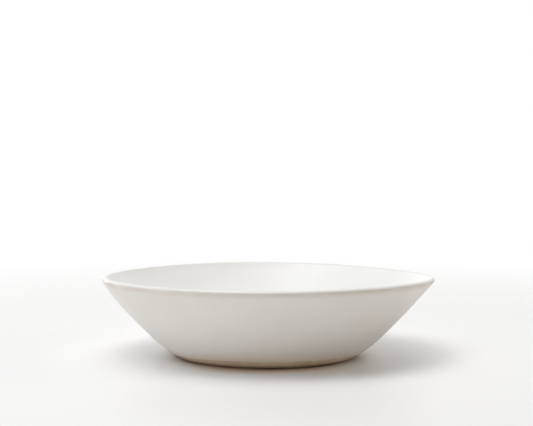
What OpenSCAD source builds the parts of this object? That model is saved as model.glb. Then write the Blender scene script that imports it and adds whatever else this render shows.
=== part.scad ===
// Pasta bowl in glazed stoneware. A thin clay shell stands on a bare foot ring that is luted under it,
// and carries a coat of glaze inside, one outside and one over its round lip. Every piece is turned
// about the Z axis. The foot stands at z = 0 and lengths are in millimetres.

/* [Bowl] */
// Diameter over the lip
rim_d = 230; // [215:1:245]
// Height from the table to the top of the lip
bowl_h = 55.5; // [49:0.5:61]
// Thickness of the glazed wall, which is also the width of the round lip
wall_t = 4; // [3:0.1:5]
// Thickness of the glazed floor
floor_t = 6; // [5:0.5:8]

/* [Wall curve] */
// Rise of the wall above level at the foot, in degrees
foot_lean = 40; // [36:1:43]
// Rise of the wall above level where it joins the lip, in degrees
lip_lean = 60; // [54:1:64]
// Share of the bowl's height over which the wall holds its lean at the foot
foot_pull_share = 0.51; // [0.45:0.01:0.55]
// Share of the bowl's height over which the wall holds its lean at the lip
lip_pull_share = 0.235; // [0.2:0.005:0.28]
// Share of the wall's curve below which the inside turns into the floor
well_share = 0.34; // [0.3:0.01:0.38]

/* [Foot] */
// Outer diameter of the foot, where the line of the wall meets the table
foot_d = 130; // [120:1:140]
// Height of the foot ring, which is the depth of the hollow under the bowl
foot_h = 4; // [3:0.5:5]
// Width of the foot ring, from that line to the hollow
foot_w = 9; // [6:0.5:12]
// Height at which the ring's outer edge stands clear of the table
edge_lift = 1.1; // [0.8:0.1:1.5]
// Share of the ring's width that is cut back from the table under that edge
cut_share = 0.72; // [0.5:0.02:0.78]

/* [Glaze] */
// Thickness of each coat of glaze
glaze_t = 0.4; // [0.3:0.05:0.6]
// Height of the bare clay between the foot ring and the glaze
bare_h = 2; // [1:0.5:4]

/* [Hidden] */
$fn = 96;
clay_colour = "#c4b8a7";
glaze_colour = "#eeebe4";
wall_steps = 24;
well_steps = 12;
lip_steps = 18;
foot_steps = 4;

// The lip is a half round, with its centre in the middle of the wall
lip_r = wall_t / 2;
clay_lip_r = lip_r - glaze_t;
clay_wall_t = wall_t - 2 * glaze_t;
lip_middle = [rim_d / 2 - lip_r, bowl_h - lip_r];
floor_z = foot_h + floor_t;
clay_floor_z = floor_z - glaze_t;
foot_in_r = foot_d / 2 - foot_w;
stand_r = foot_d / 2 - cut_share * foot_w;

// The outside of the clay is one curve, from the table at the foot to the lip
foot_edge = [foot_d / 2, 0];
lip_edge = lip_middle + clay_lip_r * square_to(lip_lean);
wall = [
    foot_edge,
    foot_edge + foot_pull_share * bowl_h * along(foot_lean),
    lip_edge - lip_pull_share * bowl_h * along(lip_lean),
    lip_edge
];
edge_t = curve_at_height(edge_lift);
foot_top_t = curve_at_height(foot_h);
glaze_line_t = curve_at_height(foot_h + bare_h);

// The inside of the clay leaves the wall and turns into the floor
well_top = beside(wall, well_share, -clay_wall_t);
well_way = heading(wall, well_share);
well_corner = well_top - (well_top.y - clay_floor_z) / well_way.y * well_way;
well_end = well_corner - [norm(well_top - well_corner), 0];
well = [well_end, well_corner, well_top];

// Unit step along a line with this rise, and the unit step square to it on its outer side
function along(lean) = [cos(lean), sin(lean)];
function square_to(lean) = [sin(lean), -cos(lean)];

// One level less of a curve's control points, at share t of the curve
function between(points, t) = [for (i = [1:len(points) - 1]) (1 - t) * points[i - 1] + t * points[i]];
// Point at share t of a curve, and the direction in which the curve runs there
function on_curve(points, t) = len(points) == 1 ? points[0] : on_curve(between(points, t), t);
function heading(points, t) = len(points) == 2 ? points[1] - points[0] : heading(between(points, t), t);
// Point at a distance to the outer side of a curve
function beside(points, t, gap) =
    let (way = heading(points, t))
    on_curve(points, t) + gap * [way.y, -way.x] / norm(way);
// Share of the wall's curve at which it reaches a height, halving the stretch that holds it
function curve_at_height(z, low = 0, high = 1, tries = 40) =
    let (mid = (low + high) / 2)
    tries == 0 ? mid
    : on_curve(wall, mid).y < z ? curve_at_height(z, mid, high, tries - 1)
    : curve_at_height(z, low, mid, tries - 1);

// Points along a stretch of a curve, at a distance to its outer side
function stretch(points, from, to, gap, steps) =
    [for (i = [0:steps]) beside(points, from + (to - from) * i / steps, gap)];
// Points over the lip, from the outside to the inside
function over_lip(r) =
    [for (i = [0:lip_steps]) lip_middle + r * along(lip_lean - 90 + 180 * i / lip_steps)];
// Points from the floor's edge to the lip inside, at a height above the clay
function up_inside(coat) = concat(
    stretch(well, 0, 1, -coat, well_steps),
    after_first(stretch(wall, well_share, 1, -clay_wall_t - coat, wall_steps))
);
// Points from the glaze's edge to the lip outside, at a height above the clay
function up_outside(coat) = stretch(wall, glaze_line_t, 1, coat, wall_steps);
// A list without its first point, which the stretch before it ends on, and a list turned round
function after_first(list) = [for (i = [1:len(list) - 1]) list[i]];
function turned(list) = [for (i = [len(list) - 1:-1:0]) list[i]];

// A piece turned about the Z axis from its outline
module turn(outline, colour) {
    color(colour)
        rotate_extrude()
            polygon(outline);
}

// Clay shell: floor, wall and the core of the lip
module stoneware_body() {
    turn(
        concat(
            [[0, foot_h]],
            stretch(wall, foot_top_t, glaze_line_t, 0, foot_steps),
            after_first(up_outside(0)),
            after_first(over_lip(clay_lip_r)),
            after_first(turned(up_inside(0))),
            [[0, clay_floor_z]]
        ),
        clay_colour
    );
}

// Bare clay ring that the bowl stands on, luted to the underside of the shell, with its outer edge cut back
module foot_ring() {
    turn(
        concat(
            [[foot_in_r, 0], [stand_r, 0]],
            stretch(wall, edge_t, foot_top_t, 0, foot_steps),
            [[foot_in_r, foot_h]]
        ),
        clay_colour
    );
}

// Glaze poured over the floor and the inside of the wall
module inner_glaze() {
    turn(
        concat(
            [[0, clay_floor_z]],
            up_inside(0),
            turned(up_inside(glaze_t)),
            [[0, floor_z]]
        ),
        glaze_colour
    );
}

// Glaze on the outside of the wall, from the bare strip up to the lip
module outer_glaze() {
    turn(concat(up_outside(0), turned(up_outside(glaze_t))), glaze_colour);
}

// Glaze over the lip, where the inside and outside coats meet
module lip_glaze() {
    turn(concat(over_lip(clay_lip_r), turned(over_lip(lip_r))), glaze_colour);
}

stoneware_body();
foot_ring();
inner_glaze();
outer_glaze();
lip_glaze();
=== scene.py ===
import math

import bmesh
import bpy
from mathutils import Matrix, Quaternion, Vector
from mathutils.geometry import interpolate_bezier


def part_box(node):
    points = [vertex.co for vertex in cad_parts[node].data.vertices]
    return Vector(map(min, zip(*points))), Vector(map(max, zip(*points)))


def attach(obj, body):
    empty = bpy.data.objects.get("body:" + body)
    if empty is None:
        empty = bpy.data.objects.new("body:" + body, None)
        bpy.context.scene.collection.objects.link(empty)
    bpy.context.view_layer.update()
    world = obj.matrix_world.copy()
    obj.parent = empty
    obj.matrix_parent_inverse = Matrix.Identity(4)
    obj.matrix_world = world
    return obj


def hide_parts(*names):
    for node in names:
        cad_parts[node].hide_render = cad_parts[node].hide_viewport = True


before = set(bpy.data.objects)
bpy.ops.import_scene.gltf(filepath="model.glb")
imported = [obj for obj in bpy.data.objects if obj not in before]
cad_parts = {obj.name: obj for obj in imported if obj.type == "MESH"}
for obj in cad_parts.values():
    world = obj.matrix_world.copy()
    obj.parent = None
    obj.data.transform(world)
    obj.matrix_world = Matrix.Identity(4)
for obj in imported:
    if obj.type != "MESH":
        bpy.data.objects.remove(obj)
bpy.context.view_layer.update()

# Clay shell: the floor, the wall and the core of the lip, thrown in one piece from buff stoneware.
# Glaze hides it, apart from a narrow strip above the foot and the base inside the foot ring, where
# the turning tool has left fine rings in the bare clay.
MM = 0.001
RIM_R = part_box("lip_glaze")[1].x
BOWL_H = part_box("lip_glaze")[1].z
FOOT_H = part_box("foot_ring")[1].z
CLAY_FLOOR_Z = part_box("inner_glaze")[0].z
WALL_T = 4 * MM
GLAZE_T = 0.4 * MM
CLAY_WALL_T = WALL_T - 2 * GLAZE_T
LIP_R = WALL_T / 2
CLAY_LIP_R = LIP_R - GLAZE_T
FOOT_R = 65 * MM
FOOT_W = 9 * MM
BARE_H = 2 * MM
# Rise of the wall above level at the foot and at the lip, in degrees, and how far it holds each rise
FOOT_LEAN = 40
LIP_LEAN = 60
FOOT_PULL = 0.51 * BOWL_H
LIP_PULL = 0.235 * BOWL_H
# Share of the wall's curve below which the inside turns into the floor, and how far towards its
# corner both ends of that turn pull
WELL_SHARE = 0.34
WELL_PULL_SHARE = 2 / 3
WALL_STEPS = 48
WELL_STEPS = 16
LIP_STEPS = 48
TURN_STEPS = 192
# Points closer than this are one point, and a bend of more degrees than this is a real corner
MERGE_GAP = 0.002 * MM
CORNER_ANGLE = 40
# Rings of the turning tool in the base, and the shares of a ring at which it is deepest and ends
BASE_RINGS = 9
BASE_RING_DEPTH = 0.12 * MM
RING_DEEP_SHARE = 0.35
RING_END_SHARE = 0.8
# Lobes, height and direction of a crest, in degrees, of each slow wave that drying left in the rim
RIM_WAVES = ((0, 0.27 * MM, 0), (1, 0.62 * MM, 290), (2, 0.475 * MM, 111), (3, 0.4 * MM, 93))
# How far the lip stands off centre one way and the waist the other, and how much wider than deep the rim is
LIP_SHIFT = 1.2 * MM
WAIST_SHIFT = 0.68 * MM
RIM_OVAL_SHARE = 0.008
# How much slimmer than its drawn curve the wall is at half its height
WAIST_SHARE = 0.0055
# How much tighter than drawn the foot is across and in depth, how far it stands off centre, and the
# height at which this has faded out
FOOT_ACROSS_SHARE = 0.042
FOOT_DEPTH_SHARE = 0.01
FOOT_SHIFT = 0.68 * MM
FOOT_REACH = 12 * MM
# Powers by which the unevenness of the rim and of the lip grows with height, and that of the foot fades
RIM_GROWTH = 2
LIP_GROWTH = 8
FOOT_FADE = 2
BUFF_CLAY = (0.72, 0.605, 0.475, 1)
DARK_CLAY = (0.63, 0.51, 0.385, 1)
IRON_SPECK = (0.16, 0.1, 0.06, 1)
# Painted shade in the gap under the foot's cut-back edge, darker towards the table: its colour, the
# heights between which it fades out and the radii between which it comes in
PAINTED_GAP_SHADE = (0.3, 0.2, 0.13, 1)
GAP_SHADE_LOW = 0.4 * MM
GAP_SHADE_HIGH = 4 * MM
GAP_SHADE_INNER = 58.5 * MM
GAP_SHADE_OUTER = 60 * MM
# Scale, per metre, and detail of the noise of the clay's clouds, its sand and its turning lines
CLAY_CLOUD_NOISE = (90, 4)
SAND_NOISE = (1800, 3)
LINE_NOISE = (1500, 2)
SPECK_SCALE = 420
# Levels between which each texture comes in, and the shares or roughness that it takes there
CLOUD_LEVELS = (0.35, 0.65)
SAND_LEVELS = (0.62, 0.8, 0, 0.5)
SPECK_LEVELS = (0.05, 0.12, 0.7, 0)
CLAY_ROUGHNESS_LEVELS = (0.3, 0.7, 0.82, 0.96)
CLAY_SPECULAR = 0.3
# Strength of the relief in the bare clay, and the depths of its sand and its turning lines
CLAY_RELIEF = 0.5
SAND_DEPTH = 0.15 * MM
LINE_DEPTH = 0.2 * MM


def spot(radius, height):
    """Point of a profile, in the XZ plane."""
    return Vector((radius, 0, height))


def along(lean):
    """Unit step, in the profile's plane, along a line that rises this many degrees."""
    return spot(math.cos(math.radians(lean)), math.sin(math.radians(lean)))


def beside(line, gap):
    """A profile line moved square to itself, outwards where gap is above zero."""
    moved = []
    for before, here, after in zip(line[:1] + line[:-1], line, line[1:] + line[-1:]):
        way = (after - before).normalized()
        moved.append(here + gap * spot(way.z, -way.x))
    return moved


def split_at(line, z):
    """The stretches of a rising profile line below and above a height."""
    upper = next(i for i, point in enumerate(line) if point.z > z)
    below, above = line[upper - 1], line[upper]
    cut = below.lerp(above, (z - below.z) / (above.z - below.z))
    return [*line[:upper], cut], [cut, *line[upper:]]


def over_lip(radius):
    """Half round over the lip, from the outside to the inside."""
    leans = [LIP_LEAN - 90 + 180 * i / LIP_STEPS for i in range(LIP_STEPS + 1)]
    return [lip_middle + radius * along(lean) for lean in leans]


def turn_on_wheel(outline, closed):
    """Bmesh of an outline in the XZ plane, turned about Z. An open outline starts and ends on the axis."""
    shape = bmesh.new()
    corners = [shape.verts.new(point) for point in outline]
    ring = corners + corners[:1] if closed else corners
    edges = [shape.edges.new(pair) for pair in zip(ring, ring[1:])]
    bmesh.ops.spin(
        shape,
        geom=corners + edges,
        cent=(0, 0, 0),
        axis=(0, 0, 1),
        angle=math.tau,
        steps=TURN_STEPS,
        use_merge=True,
    )
    bmesh.ops.remove_doubles(shape, verts=shape.verts, dist=MERGE_GAP)
    bmesh.ops.recalc_face_normals(shape, faces=shape.faces)
    return shape


def wave_height(waves, turn):
    """Sum of waves round the bowl, each with its lobes, height and crest, in a direction in radians."""
    return sum(height * math.cos(lobes * (turn - math.radians(crest))) for lobes, height, crest in waves)


def settle(shape):
    """Gives a turned piece the uneven form of a bowl thrown by hand, which still stands flat."""
    for vert in shape.verts:
        turn = math.atan2(vert.co.y, vert.co.x)
        rise = vert.co.z / BOWL_H
        vert.co.z += wave_height(RIM_WAVES, turn) * rise**RIM_GROWTH
        # 1 at half the height, 0 at the table and at the rim
        waist = 4 * rise * (1 - rise)
        slim = 1 - WAIST_SHARE * waist
        pinch = max(0, 1 - vert.co.z / FOOT_REACH) ** FOOT_FADE
        vert.co.x *= slim + RIM_OVAL_SHARE * rise**RIM_GROWTH - FOOT_ACROSS_SHARE * pinch
        vert.co.y *= slim - FOOT_DEPTH_SHARE * pinch
        vert.co.x += LIP_SHIFT * rise**LIP_GROWTH - WAIST_SHIFT * waist - FOOT_SHIFT * pinch


def finished(name, shape, material):
    """Object of a finished shape, smooth but for its real corners."""
    mesh = bpy.data.meshes.new(name)
    shape.to_mesh(mesh)
    shape.free()
    mesh.polygons.foreach_set("use_smooth", [True] * len(mesh.polygons))
    mesh.set_sharp_from_angle(angle=math.radians(CORNER_ANGLE))
    mesh.materials.append(material)
    piece = bpy.data.objects.new(name, mesh)
    bpy.context.scene.collection.objects.link(piece)
    return piece


def new_material(name):
    """A new material, its node tree and its shader."""
    material = bpy.data.materials.new(name)
    material.use_nodes = True
    return material, material.node_tree, material.node_tree.nodes["Principled BSDF"]


def add_node(tree, kind, inputs=None, **settings):
    """Adds a shader node, with its settings, and sets or links its inputs."""
    made = tree.nodes.new(kind)
    for key, value in settings.items():
        setattr(made, key, value)
    for key, value in (inputs or {}).items():
        if isinstance(value, bpy.types.NodeSocket):
            tree.links.new(value, made.inputs[key])
        else:
            made.inputs[key].default_value = value
    return made


def noise(tree, place, scale, detail):
    """Value socket of a noise over a place."""
    inputs = {"Vector": place, "Scale": scale, "Detail": detail}
    return add_node(tree, "ShaderNodeTexNoise", inputs).outputs["Fac"]


def length(tree, vector):
    """Value socket of a vector's length."""
    return add_node(tree, "ShaderNodeVectorMath", {0: vector}, operation="LENGTH").outputs["Value"]


def combined(tree, operation, first, second):
    """Value socket of two values put through an operation."""
    return add_node(tree, "ShaderNodeMath", {0: first, 1: second}, operation=operation).outputs["Value"]


def ranged(tree, value, low, high, to_low=0, to_high=1):
    """Value socket that goes smoothly from one level to another as value goes from low to high."""
    inputs = {"Value": value, "From Min": low, "From Max": high, "To Min": to_low, "To Max": to_high}
    return add_node(tree, "ShaderNodeMapRange", inputs, interpolation_type="SMOOTHSTEP").outputs["Result"]


def mixed(tree, share, first, second):
    """Colour socket of two colours mixed by a share. The node takes them at 6 and 7 and gives one at 2."""
    inputs = {0: share, 6: first, 7: second}
    return add_node(tree, "ShaderNodeMix", inputs, data_type="RGBA", clamp_result=True).outputs[2]


def relief(tree, strength, layers):
    """Normal socket of layers of relief, one on the other, each with its height socket and its depth."""
    below = {}
    for height, depth in layers:
        inputs = {"Height": height, "Strength": strength, "Distance": depth, **below}
        below = {"Normal": add_node(tree, "ShaderNodeBump", inputs).outputs["Normal"]}
    return below["Normal"]


def stoneware(name):
    """Bare fired clay: matte and sandy, with a few iron specks, fine turning lines and painted shade under
    the foot.
    """
    material, tree, shader = new_material(name)
    place = add_node(tree, "ShaderNodeTexCoord").outputs["Object"]
    axes = add_node(tree, "ShaderNodeSeparateXYZ", {"Vector": place}).outputs
    across = add_node(tree, "ShaderNodeCombineXYZ", {"X": axes["X"], "Y": axes["Y"]})
    radius = length(tree, across.outputs["Vector"])
    ring_place = add_node(tree, "ShaderNodeCombineXYZ", {"X": radius, "Z": axes["Z"]})
    cloud = noise(tree, place, *CLAY_CLOUD_NOISE)
    sand = noise(tree, place, *SAND_NOISE)
    lines = noise(tree, ring_place.outputs["Vector"], *LINE_NOISE)
    specks = add_node(tree, "ShaderNodeTexVoronoi", {"Vector": place, "Scale": SPECK_SCALE})
    colour = mixed(tree, ranged(tree, cloud, *CLOUD_LEVELS), BUFF_CLAY, DARK_CLAY)
    colour = mixed(tree, ranged(tree, sand, *SAND_LEVELS), colour, DARK_CLAY)
    colour = mixed(tree, ranged(tree, specks.outputs["Distance"], *SPECK_LEVELS), colour, IRON_SPECK)
    # Painted shade: the clay darkens in the gap under the foot's cut-back edge, towards the table
    low = ranged(tree, axes["Z"], GAP_SHADE_LOW, GAP_SHADE_HIGH, 1, 0)
    outer = ranged(tree, radius, GAP_SHADE_INNER, GAP_SHADE_OUTER)
    colour = mixed(tree, combined(tree, "MULTIPLY", low, outer), colour, PAINTED_GAP_SHADE)
    tree.links.new(colour, shader.inputs["Base Color"])
    tree.links.new(ranged(tree, sand, *CLAY_ROUGHNESS_LEVELS), shader.inputs["Roughness"])
    shader.inputs["Specular IOR Level"].default_value = CLAY_SPECULAR
    normal = relief(tree, CLAY_RELIEF, ((sand, SAND_DEPTH), (lines, LINE_DEPTH)))
    tree.links.new(normal, shader.inputs["Normal"])
    return material


lip_middle = spot(RIM_R - LIP_R, BOWL_H - LIP_R)
foot_edge = spot(FOOT_R, 0)
lip_edge = lip_middle + CLAY_LIP_R * along(LIP_LEAN - 90)
wall = interpolate_bezier(
    foot_edge,
    foot_edge + FOOT_PULL * along(FOOT_LEAN),
    lip_edge - LIP_PULL * along(LIP_LEAN),
    lip_edge,
    WALL_STEPS + 1,
)
foot_face, shell_wall = split_at(wall, FOOT_H)
bare_strip, glazed_wall = split_at(shell_wall, FOOT_H + BARE_H)

inside_wall = beside(wall, -CLAY_WALL_T)[round(WELL_SHARE * WALL_STEPS):]
well_top = inside_wall[0]
well_way = (inside_wall[1] - well_top).normalized()
well_corner = well_top - (well_top.z - CLAY_FLOOR_Z) / well_way.z * well_way
well_end = well_corner - spot((well_top - well_corner).length, 0)
well = interpolate_bezier(
    well_end,
    well_end.lerp(well_corner, WELL_PULL_SHARE),
    well_top.lerp(well_corner, WELL_PULL_SHARE),
    well_top,
    WELL_STEPS + 1,
)
clay_inside = well + inside_wall[1:]

foot_inside = FOOT_R - FOOT_W
ring_w = foot_inside / BASE_RINGS
base = []
for ring in range(BASE_RINGS):
    base.append(spot(ring * ring_w, FOOT_H))
    base.append(spot((ring + RING_DEEP_SHARE) * ring_w, FOOT_H + BASE_RING_DEPTH))
    base.append(spot((ring + RING_END_SHARE) * ring_w, FOOT_H))
base.append(spot(BASE_RINGS * ring_w, FOOT_H))

shell_shape = turn_on_wheel(
    [
        *base,
        *bare_strip,
        *glazed_wall[1:],
        *over_lip(CLAY_LIP_R)[1:],
        *reversed(clay_inside[:-1]),
        spot(0, CLAY_FLOOR_Z),
    ],
    closed=False,
)
settle(shell_shape)
clay_shell = finished("clay_shell", shell_shape, stoneware("bare_stoneware"))
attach(clay_shell, "root")
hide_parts("stoneware_body")

# Foot ring: a coil of the same clay, luted under the shell and turned to follow the wall. It stays
# free of glaze. Its outer lower edge was cut back with the tool, so that it stands clear of the table
# and leaves a dark line there, which painted shade in the clay deepens, and its corners are worn
# round by the sponge.
EDGE_LIFT = 1.1 * MM
EDGE_DEPTH = 6.5 * MM
# Rounds of the outer edge and of the two edges that stand on the table
EDGE_ROUND = 3 * MM
STAND_ROUND = 0.5 * MM
FOOT_ROUND_STEPS = 6
# Heights or radii that differ by less than this are the same
NEAR = 0.01 * MM


def rings_at(shape, height):
    """Edges that run round a turned shape at a height."""
    rings = []
    for edge in shape.edges:
        first, second = edge.verts
        level = abs(first.co.z - height) < NEAR and abs(second.co.z - height) < NEAR
        if level and abs(first.co.xy.length - second.co.xy.length) < NEAR:
            rings.append(edge)
    return rings


def round_off(shape, edges, radius, steps):
    """Rounds edges of a shape."""
    bmesh.ops.bevel(
        shape,
        geom=edges,
        offset=radius,
        offset_type="OFFSET",
        affect="EDGES",
        segments=steps,
        profile=0.5,
        material=-1,
    )


foot_stand = FOOT_R - EDGE_DEPTH
foot_side = split_at(foot_face, EDGE_LIFT)[1]
foot_shape = turn_on_wheel(
    [spot(foot_inside, 0), spot(foot_stand, 0), *foot_side, spot(foot_inside, FOOT_H)],
    closed=True,
)
for height, radius in ((EDGE_LIFT, EDGE_ROUND), (0, STAND_ROUND)):
    round_off(foot_shape, rings_at(foot_shape, height), radius, FOOT_ROUND_STEPS)
settle(foot_shape)
turned_foot = finished("turned_foot", foot_shape, stoneware("foot_stoneware"))
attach(turned_foot, "root")
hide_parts("foot_ring")

# Inside coat: warm white satin glaze, poured into the bowl and swirled round, so that it lies
# evenly on the floor and the wall up to the lip. Its colour is set lighter than the same glaze
# outside, as painted light.
# Painted light: lighter than the same glaze on the outside coat
INSIDE_WHITE = (0.885, 0.882, 0.868, 1)
INSIDE_SHADE = (0.875, 0.87, 0.851, 1)
# Glaze that lies thin over the clay, with painted warm shade near the foot, and glaze that has drawn back
# from an arris, with painted shade below the lip
THIN_GLAZE_AND_WARM_SHADE = (0.745, 0.645, 0.515, 1)
DRAWN_GLAZE_AND_SHADE = (0.6, 0.54, 0.465, 1)
# Scale, per metre, and detail of the noise of the glaze's clouds, its mottle and its slow drift
GLAZE_CLOUD_NOISE = (35, 3)
MOTTLE_NOISE = (600, 3)
DRIFT_NOISE = (60, 4)
# Levels between which each comes in, and the shares or roughness that it takes there
MOTTLE_LEVELS = (0.5, 0.75, 0, 0.2)
PATCH_LEVELS = (0.3, 0.6, 0.55, 1)
GLAZE_ROUGHNESS_LEVELS = (0.3, 0.7, 0.36, 0.46)
GLAZE_SPECULAR = 0.5
# Strength of the relief in the glaze, and the depths of its fine peel and its slow swell
GLAZE_RELIEF = 0.1
PEEL_DEPTH = 0.05 * MM
SWELL_DEPTH = 0.2 * MM


def satin_glaze(name, colour, shade):
    """Satin glaze with soft clouds, warmed by clay colours where marks give thin or drawn glaze and painted
    shade.
    """
    material, tree, shader = new_material(name)
    place = add_node(tree, "ShaderNodeTexCoord").outputs["Object"]
    cloud = noise(tree, place, *GLAZE_CLOUD_NOISE)
    mottle = noise(tree, place, *MOTTLE_NOISE)
    drift = noise(tree, place, *DRIFT_NOISE)
    tone = mixed(tree, ranged(tree, cloud, *CLOUD_LEVELS), colour, shade)
    tone = mixed(tree, ranged(tree, mottle, *MOTTLE_LEVELS), tone, shade)
    patches = ranged(tree, drift, *PATCH_LEVELS)
    # Marks of thin and drawn glaze, which also carry painted shade at the foot and below the lip
    for mark, mark_colour in (("thin", THIN_GLAZE_AND_WARM_SHADE), ("drawn_and_shade", DRAWN_GLAZE_AND_SHADE)):
        share = add_node(tree, "ShaderNodeAttribute", attribute_name=mark).outputs["Fac"]
        tone = mixed(tree, combined(tree, "MULTIPLY", share, patches), tone, mark_colour)
    tree.links.new(tone, shader.inputs["Base Color"])
    tree.links.new(ranged(tree, mottle, *GLAZE_ROUGHNESS_LEVELS), shader.inputs["Roughness"])
    shader.inputs["Specular IOR Level"].default_value = GLAZE_SPECULAR
    normal = relief(tree, GLAZE_RELIEF, ((mottle, PEEL_DEPTH), (drift, SWELL_DEPTH)))
    tree.links.new(normal, shader.inputs["Normal"])
    return material


inside_surface = beside(clay_inside, -GLAZE_T)
inside_shape = turn_on_wheel(
    [
        spot(0, CLAY_FLOOR_Z),
        *clay_inside,
        *reversed(inside_surface),
        spot(0, CLAY_FLOOR_Z + GLAZE_T),
    ],
    closed=False,
)
settle(inside_shape)
inside_glaze = satin_glaze("inside_satin", INSIDE_WHITE, INSIDE_SHADE)
inside_coat = finished("inside_coat", inside_shape, inside_glaze)
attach(inside_coat, "root")
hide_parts("inner_glaze")

# Outside coat: the same glaze, dipped, from the lip down to the bare strip, its colour set darker and
# warmer than inside as painted shade. Its lower edge was wiped by hand, so it wanders and lies thin
# there, and the clay warms it; that warm band is also painted warm shade, highest on the right. In the
# kiln the glaze also draws back from the arris of the lip, where the clay shows through, and painted
# shade runs on below it.
# Painted shade: darker and warmer than the same glaze on the inside coat
OUTSIDE_WHITE = (0.765, 0.733, 0.693, 1)
OUTSIDE_SHADE = (0.75, 0.715, 0.672, 1)
BEAD_ROUND = 0.3 * MM
BEAD_STEPS = 4
# Cycles round the foot, height and direction of a crest, in degrees, of each wave in the wiped edge, and
# the height above the edge and the power with which they fade
EDGE_WAVES = ((0, -0.7 * MM, 0), (2, 0.8 * MM, 280), (5, 0.2 * MM, 40), (9, 0.12 * MM, 10))
EDGE_REACH = 5 * MM
EDGE_FADE = 2
# Height of the band of thin glaze and painted warm shade above the edge, its swing round the foot, the
# direction in which it is highest, in degrees, and the power with which it fades
THIN_AND_SHADE_BAND = 8 * MM
WARM_SHADE_SWING = 5 * MM
WARM_SHADE_SIDE = -20
THIN_AND_SHADE_FADE = 2.5
# Angles over the lip, in degrees from level, at which the glaze break and its painted shade start, are
# widest and end
BREAK_AND_SHADE_FROM = -85
BREAK_AND_SHADE_MIDDLE = -5
BREAK_AND_SHADE_TO = 36
# How open the break and its painted shade are at the two sides where widest, between them, and where one
# side is
BREAK_AND_SHADE_MOST = 0.93
BREAK_AND_SHADE_LEAST = 0.64
BREAK_AND_SHADE_SIDE = -10
# Share of the break that runs on below the lip, where it is mostly painted shade
BREAK_AND_SHADE_TAIL_SHARE = 0.75


def lip_break_and_shade(place):
    """How far the glaze has drawn back from the lip's arris at a place, with painted shade, from 0 to 1."""
    over = math.degrees(math.atan2(place.z - lip_middle.z, place.xy.length - lip_middle.x))
    reach = BREAK_AND_SHADE_MIDDLE - BREAK_AND_SHADE_FROM if over < BREAK_AND_SHADE_MIDDLE else BREAK_AND_SHADE_TO - BREAK_AND_SHADE_MIDDLE
    side = math.cos(math.atan2(place.y, place.x) - math.radians(BREAK_AND_SHADE_SIDE)) ** 2
    opened = max(0, 1 - ((over - BREAK_AND_SHADE_MIDDLE) / reach) ** 2)
    return opened * (BREAK_AND_SHADE_LEAST + side * (BREAK_AND_SHADE_MOST - BREAK_AND_SHADE_LEAST))


def mark_glaze(piece, mark, shares):
    """Stores on each vertex how far the glaze is thin or drawn back there, with painted shade, from 0 to 1.
    """
    spots = piece.data.attributes.new(mark, "FLOAT", "POINT")
    spots.data.foreach_set("value", shares)


outside_shape = turn_on_wheel([*glazed_wall, *reversed(beside(glazed_wall, GLAZE_T))], closed=True)
lowest = min(vert.co.z for vert in outside_shape.verts)
round_off(outside_shape, rings_at(outside_shape, lowest), BEAD_ROUND, BEAD_STEPS)
thin_outside = []
drawn_and_shaded_outside = []
for vert in outside_shape.verts:
    turn = math.atan2(vert.co.y, vert.co.x)
    above_edge = vert.co.z - lowest
    thin_height = THIN_AND_SHADE_BAND + WARM_SHADE_SWING * math.cos(turn - math.radians(WARM_SHADE_SIDE))
    # Thin glaze near the wiped edge, and painted warm shade that reaches highest on the right
    thin_outside.append(max(0, 1 - above_edge / thin_height) ** THIN_AND_SHADE_FADE)
    # Glaze break, and painted shade that runs on below the lip
    drawn_and_shaded_outside.append(BREAK_AND_SHADE_TAIL_SHARE * lip_break_and_shade(vert.co))
    fade = max(0, 1 - above_edge / EDGE_REACH) ** EDGE_FADE / math.sin(math.radians(FOOT_LEAN))
    step = wave_height(EDGE_WAVES, turn) * fade * along(FOOT_LEAN)
    vert.co += Vector((step.x * math.cos(turn), step.x * math.sin(turn), step.z))
settle(outside_shape)
outside_glaze = satin_glaze("outside_satin", OUTSIDE_WHITE, OUTSIDE_SHADE)
outside_coat = finished("outside_coat", outside_shape, outside_glaze)
mark_glaze(outside_coat, "thin", thin_outside)
mark_glaze(outside_coat, "drawn_and_shade", drawn_and_shaded_outside)
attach(outside_coat, "root")
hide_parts("outer_glaze")

# Lip coat: where the two glazes meet over the round lip. The break in the glaze runs along its outer
# side as a warm line that comes and goes round the rim, and is partly painted shade.
LIP_WHITE = (0.825, 0.818, 0.8, 1)
LIP_SHADE = (0.81, 0.8, 0.778, 1)

lip_shape = turn_on_wheel([*over_lip(CLAY_LIP_R), *reversed(over_lip(LIP_R))], closed=True)
# Glaze break and painted shade along the lip's outer side
drawn_and_shaded_lip = [lip_break_and_shade(vert.co) for vert in lip_shape.verts]
settle(lip_shape)
lip_coat = finished("lip_coat", lip_shape, satin_glaze("lip_satin", LIP_WHITE, LIP_SHADE))
mark_glaze(lip_coat, "drawn_and_shade", drawn_and_shaded_lip)
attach(lip_coat, "root")
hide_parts("lip_glaze")

# Floor: a plain white sweep that takes the shadow near the bowl and turns into the white of the
# background further off, so that no edge shows. In front of the foot its colour is warmed with
# painted bounce light, the colour that the clay throws on it.
FLOOR_R = 4
FLOOR_STEPS = 96
FLOOR_WHITE = (0.9, 0.9, 0.9, 1)
FLOOR_ROUGHNESS = 0.4
# Colour of the painted bounce light, how far its round is moved to the front, and the radii between which
# it fades
FLOOR_PAINTED_BOUNCE = (0.9, 0.76, 0.6, 1)
BOUNCE_SHIFT = 26 * MM
BOUNCE_FROM = 42 * MM
BOUNCE_TO = 62 * MM
# Radii between which the sweep turns into the background
SHADOW_R = 0.3
WHITE_R = 0.9


def seen_as_background(tree):
    """1 where the camera, a reflection or a view through glass meets the surface, 0 for the light on it."""
    path = add_node(tree, "ShaderNodeLightPath").outputs
    mirrored = combined(tree, "MAXIMUM", path["Is Glossy Ray"], path["Is Transmission Ray"])
    return combined(tree, "MAXIMUM", path["Is Camera Ray"], mirrored)


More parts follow.
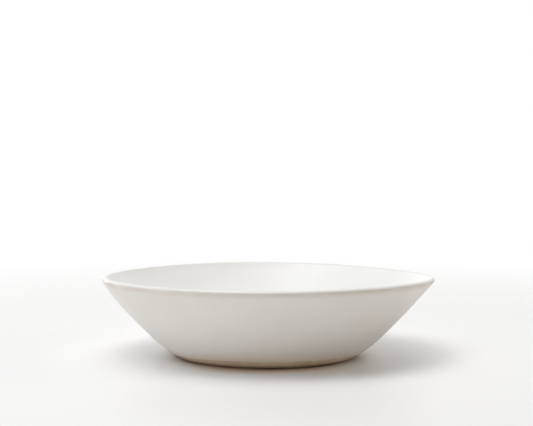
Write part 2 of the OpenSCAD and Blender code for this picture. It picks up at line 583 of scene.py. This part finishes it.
floor_shape = bmesh.new()
bmesh.ops.create_circle(floor_shape, cap_ends=True, segments=FLOOR_STEPS, radius=FLOOR_R)
floor_material, floor_tree, floor_shader = new_material("white_sweep")
floor_shader.inputs["Roughness"].default_value = FLOOR_ROUGHNESS
floor_place = add_node(floor_tree, "ShaderNodeTexCoord").outputs["Object"]
# Painted bounce light: a warm round in the floor's colour in front of the foot
bounce_inputs = {0: floor_place, 1: (0, BOUNCE_SHIFT, 0)}
bounce_place = add_node(floor_tree, "ShaderNodeVectorMath", bounce_inputs, operation="ADD").outputs["Vector"]
bounce_fade = ranged(floor_tree, length(floor_tree, bounce_place), BOUNCE_FROM, BOUNCE_TO)
floor_colour = mixed(floor_tree, bounce_fade, FLOOR_PAINTED_BOUNCE, FLOOR_WHITE)
floor_tree.links.new(floor_colour, floor_shader.inputs["Base Color"])
far = ranged(floor_tree, length(floor_tree, floor_place), SHADOW_R, WHITE_R)
far_white = combined(floor_tree, "MULTIPLY", far, seen_as_background(floor_tree))
glow = add_node(floor_tree, "ShaderNodeEmission").outputs["Emission"]
sweep_inputs = {0: far_white, 1: floor_shader.outputs["BSDF"], 2: glow}
sweep = add_node(floor_tree, "ShaderNodeMixShader", sweep_inputs).outputs["Shader"]
floor_tree.links.new(sweep, floor_tree.nodes["Material Output"].inputs["Surface"])
floor = finished("floor", floor_shape, floor_material)

# Light: large soft boxes all round, with the key high on the left, and smaller ones low down, so that
# light runs in under the wall. The background is plain white to the camera and in reflections, and
# gives no light of its own.
BOX_DISTANCE = 3.2
BOWL_MIDDLE = Vector((0, 0, BOWL_H / 2))
# Tints of the low boxes on the left, of the high ones there and above, and of the right and the back
COOL = (0.965, 0.985, 1)
PLAIN = (1, 1, 1)
WARM = (1, 0.955, 0.88)
# Direction and height in degrees, side in metres, power in watts and tint
SOFT_BOXES = {
    "top": (90, 88, 2.4, 39, PLAIN),
    "key": (225, 65, 1.8, 37.3, PLAIN),
    "left": (180, 45, 2.4, 14.3, PLAIN),
    "right": (0, 45, 2.4, 6.8, WARM),
    "back": (90, 45, 2.4, 5.8, WARM),
    "low_right": (0, 20, 1.2, 18.1, WARM),
    "low_back_right": (45, 20, 1.2, 5, WARM),
    "low_front_right": (315, 7, 0.8, 7.1, WARM),
    "low_front_left": (225, 7, 0.8, 18.1, COOL),
    "low_left": (180, 7, 0.8, 13.4, COOL),
    "low_back_left": (118, 7, 0.8, 41.4, COOL),
}
# Boxes up to this many degrees only fill the shadows: they leave no glare on the floor
LOW_BOX = 30

world = bpy.data.worlds.new("studio")
bpy.context.scene.world = world
world.use_nodes = True
sky = world.node_tree
unlit = sky.nodes["Background"]
unlit.inputs["Strength"].default_value = 0
white = add_node(sky, "ShaderNodeBackground", {"Color": (1, 1, 1, 1), "Strength": 1})
sky_inputs = {0: seen_as_background(sky), 1: unlit.outputs["Background"], 2: white.outputs["Background"]}
sky_mix = add_node(sky, "ShaderNodeMixShader", sky_inputs)
sky.links.new(sky_mix.outputs["Shader"], sky.nodes["World Output"].inputs["Surface"])

for name, (turn, height, side, power, tint) in SOFT_BOXES.items():
    lamp = bpy.data.lights.new(name, "AREA")
    lamp.shape = "SQUARE"
    lamp.size = side
    lamp.energy = power
    lamp.color = tint
    box = bpy.data.objects.new(name, lamp)
    flat = math.cos(math.radians(height))
    rise = math.sin(math.radians(height))
    way = Vector((flat * math.cos(math.radians(turn)), flat * math.sin(math.radians(turn)), rise))
    box.location = BOWL_MIDDLE + BOX_DISTANCE * way
    box.rotation_euler = way.to_track_quat("Z", "Y").to_euler()
    box.visible_glossy = height > LOW_BOX
    bpy.context.scene.collection.objects.link(box)

# Camera: almost level, a little above the rim, so that the far inside wall shows over the near lip.
# It is turned by a quarter of a degree about its line of sight.
CAMERA_PLACE = Vector((-0.72, -828, 131.59)) * MM
# Turn down from level and about the line of sight, in radians
CAMERA_PITCH = 0.0388
CAMERA_ROLL = 0.0045
# Focal length and picture width in pixels, and sensor width in millimetres
FOCAL_PIXELS = 1179.1
PICTURE_W = 533
SENSOR_W = 36

lens = bpy.data.cameras.new("camera")
lens.sensor_fit = "HORIZONTAL"
lens.sensor_width = SENSOR_W
lens.lens = FOCAL_PIXELS * SENSOR_W / PICTURE_W
camera = bpy.data.objects.new("camera", lens)
camera.location = CAMERA_PLACE
turned_down = Quaternion((1, 0, 0), math.pi / 2 - CAMERA_PITCH)
camera.rotation_euler = (turned_down @ Quaternion((0, 0, 1), CAMERA_ROLL)).to_euler()
bpy.context.scene.collection.objects.link(camera)
bpy.context.scene.camera = camera
bpy.context.scene.view_settings.view_transform = "Standard"
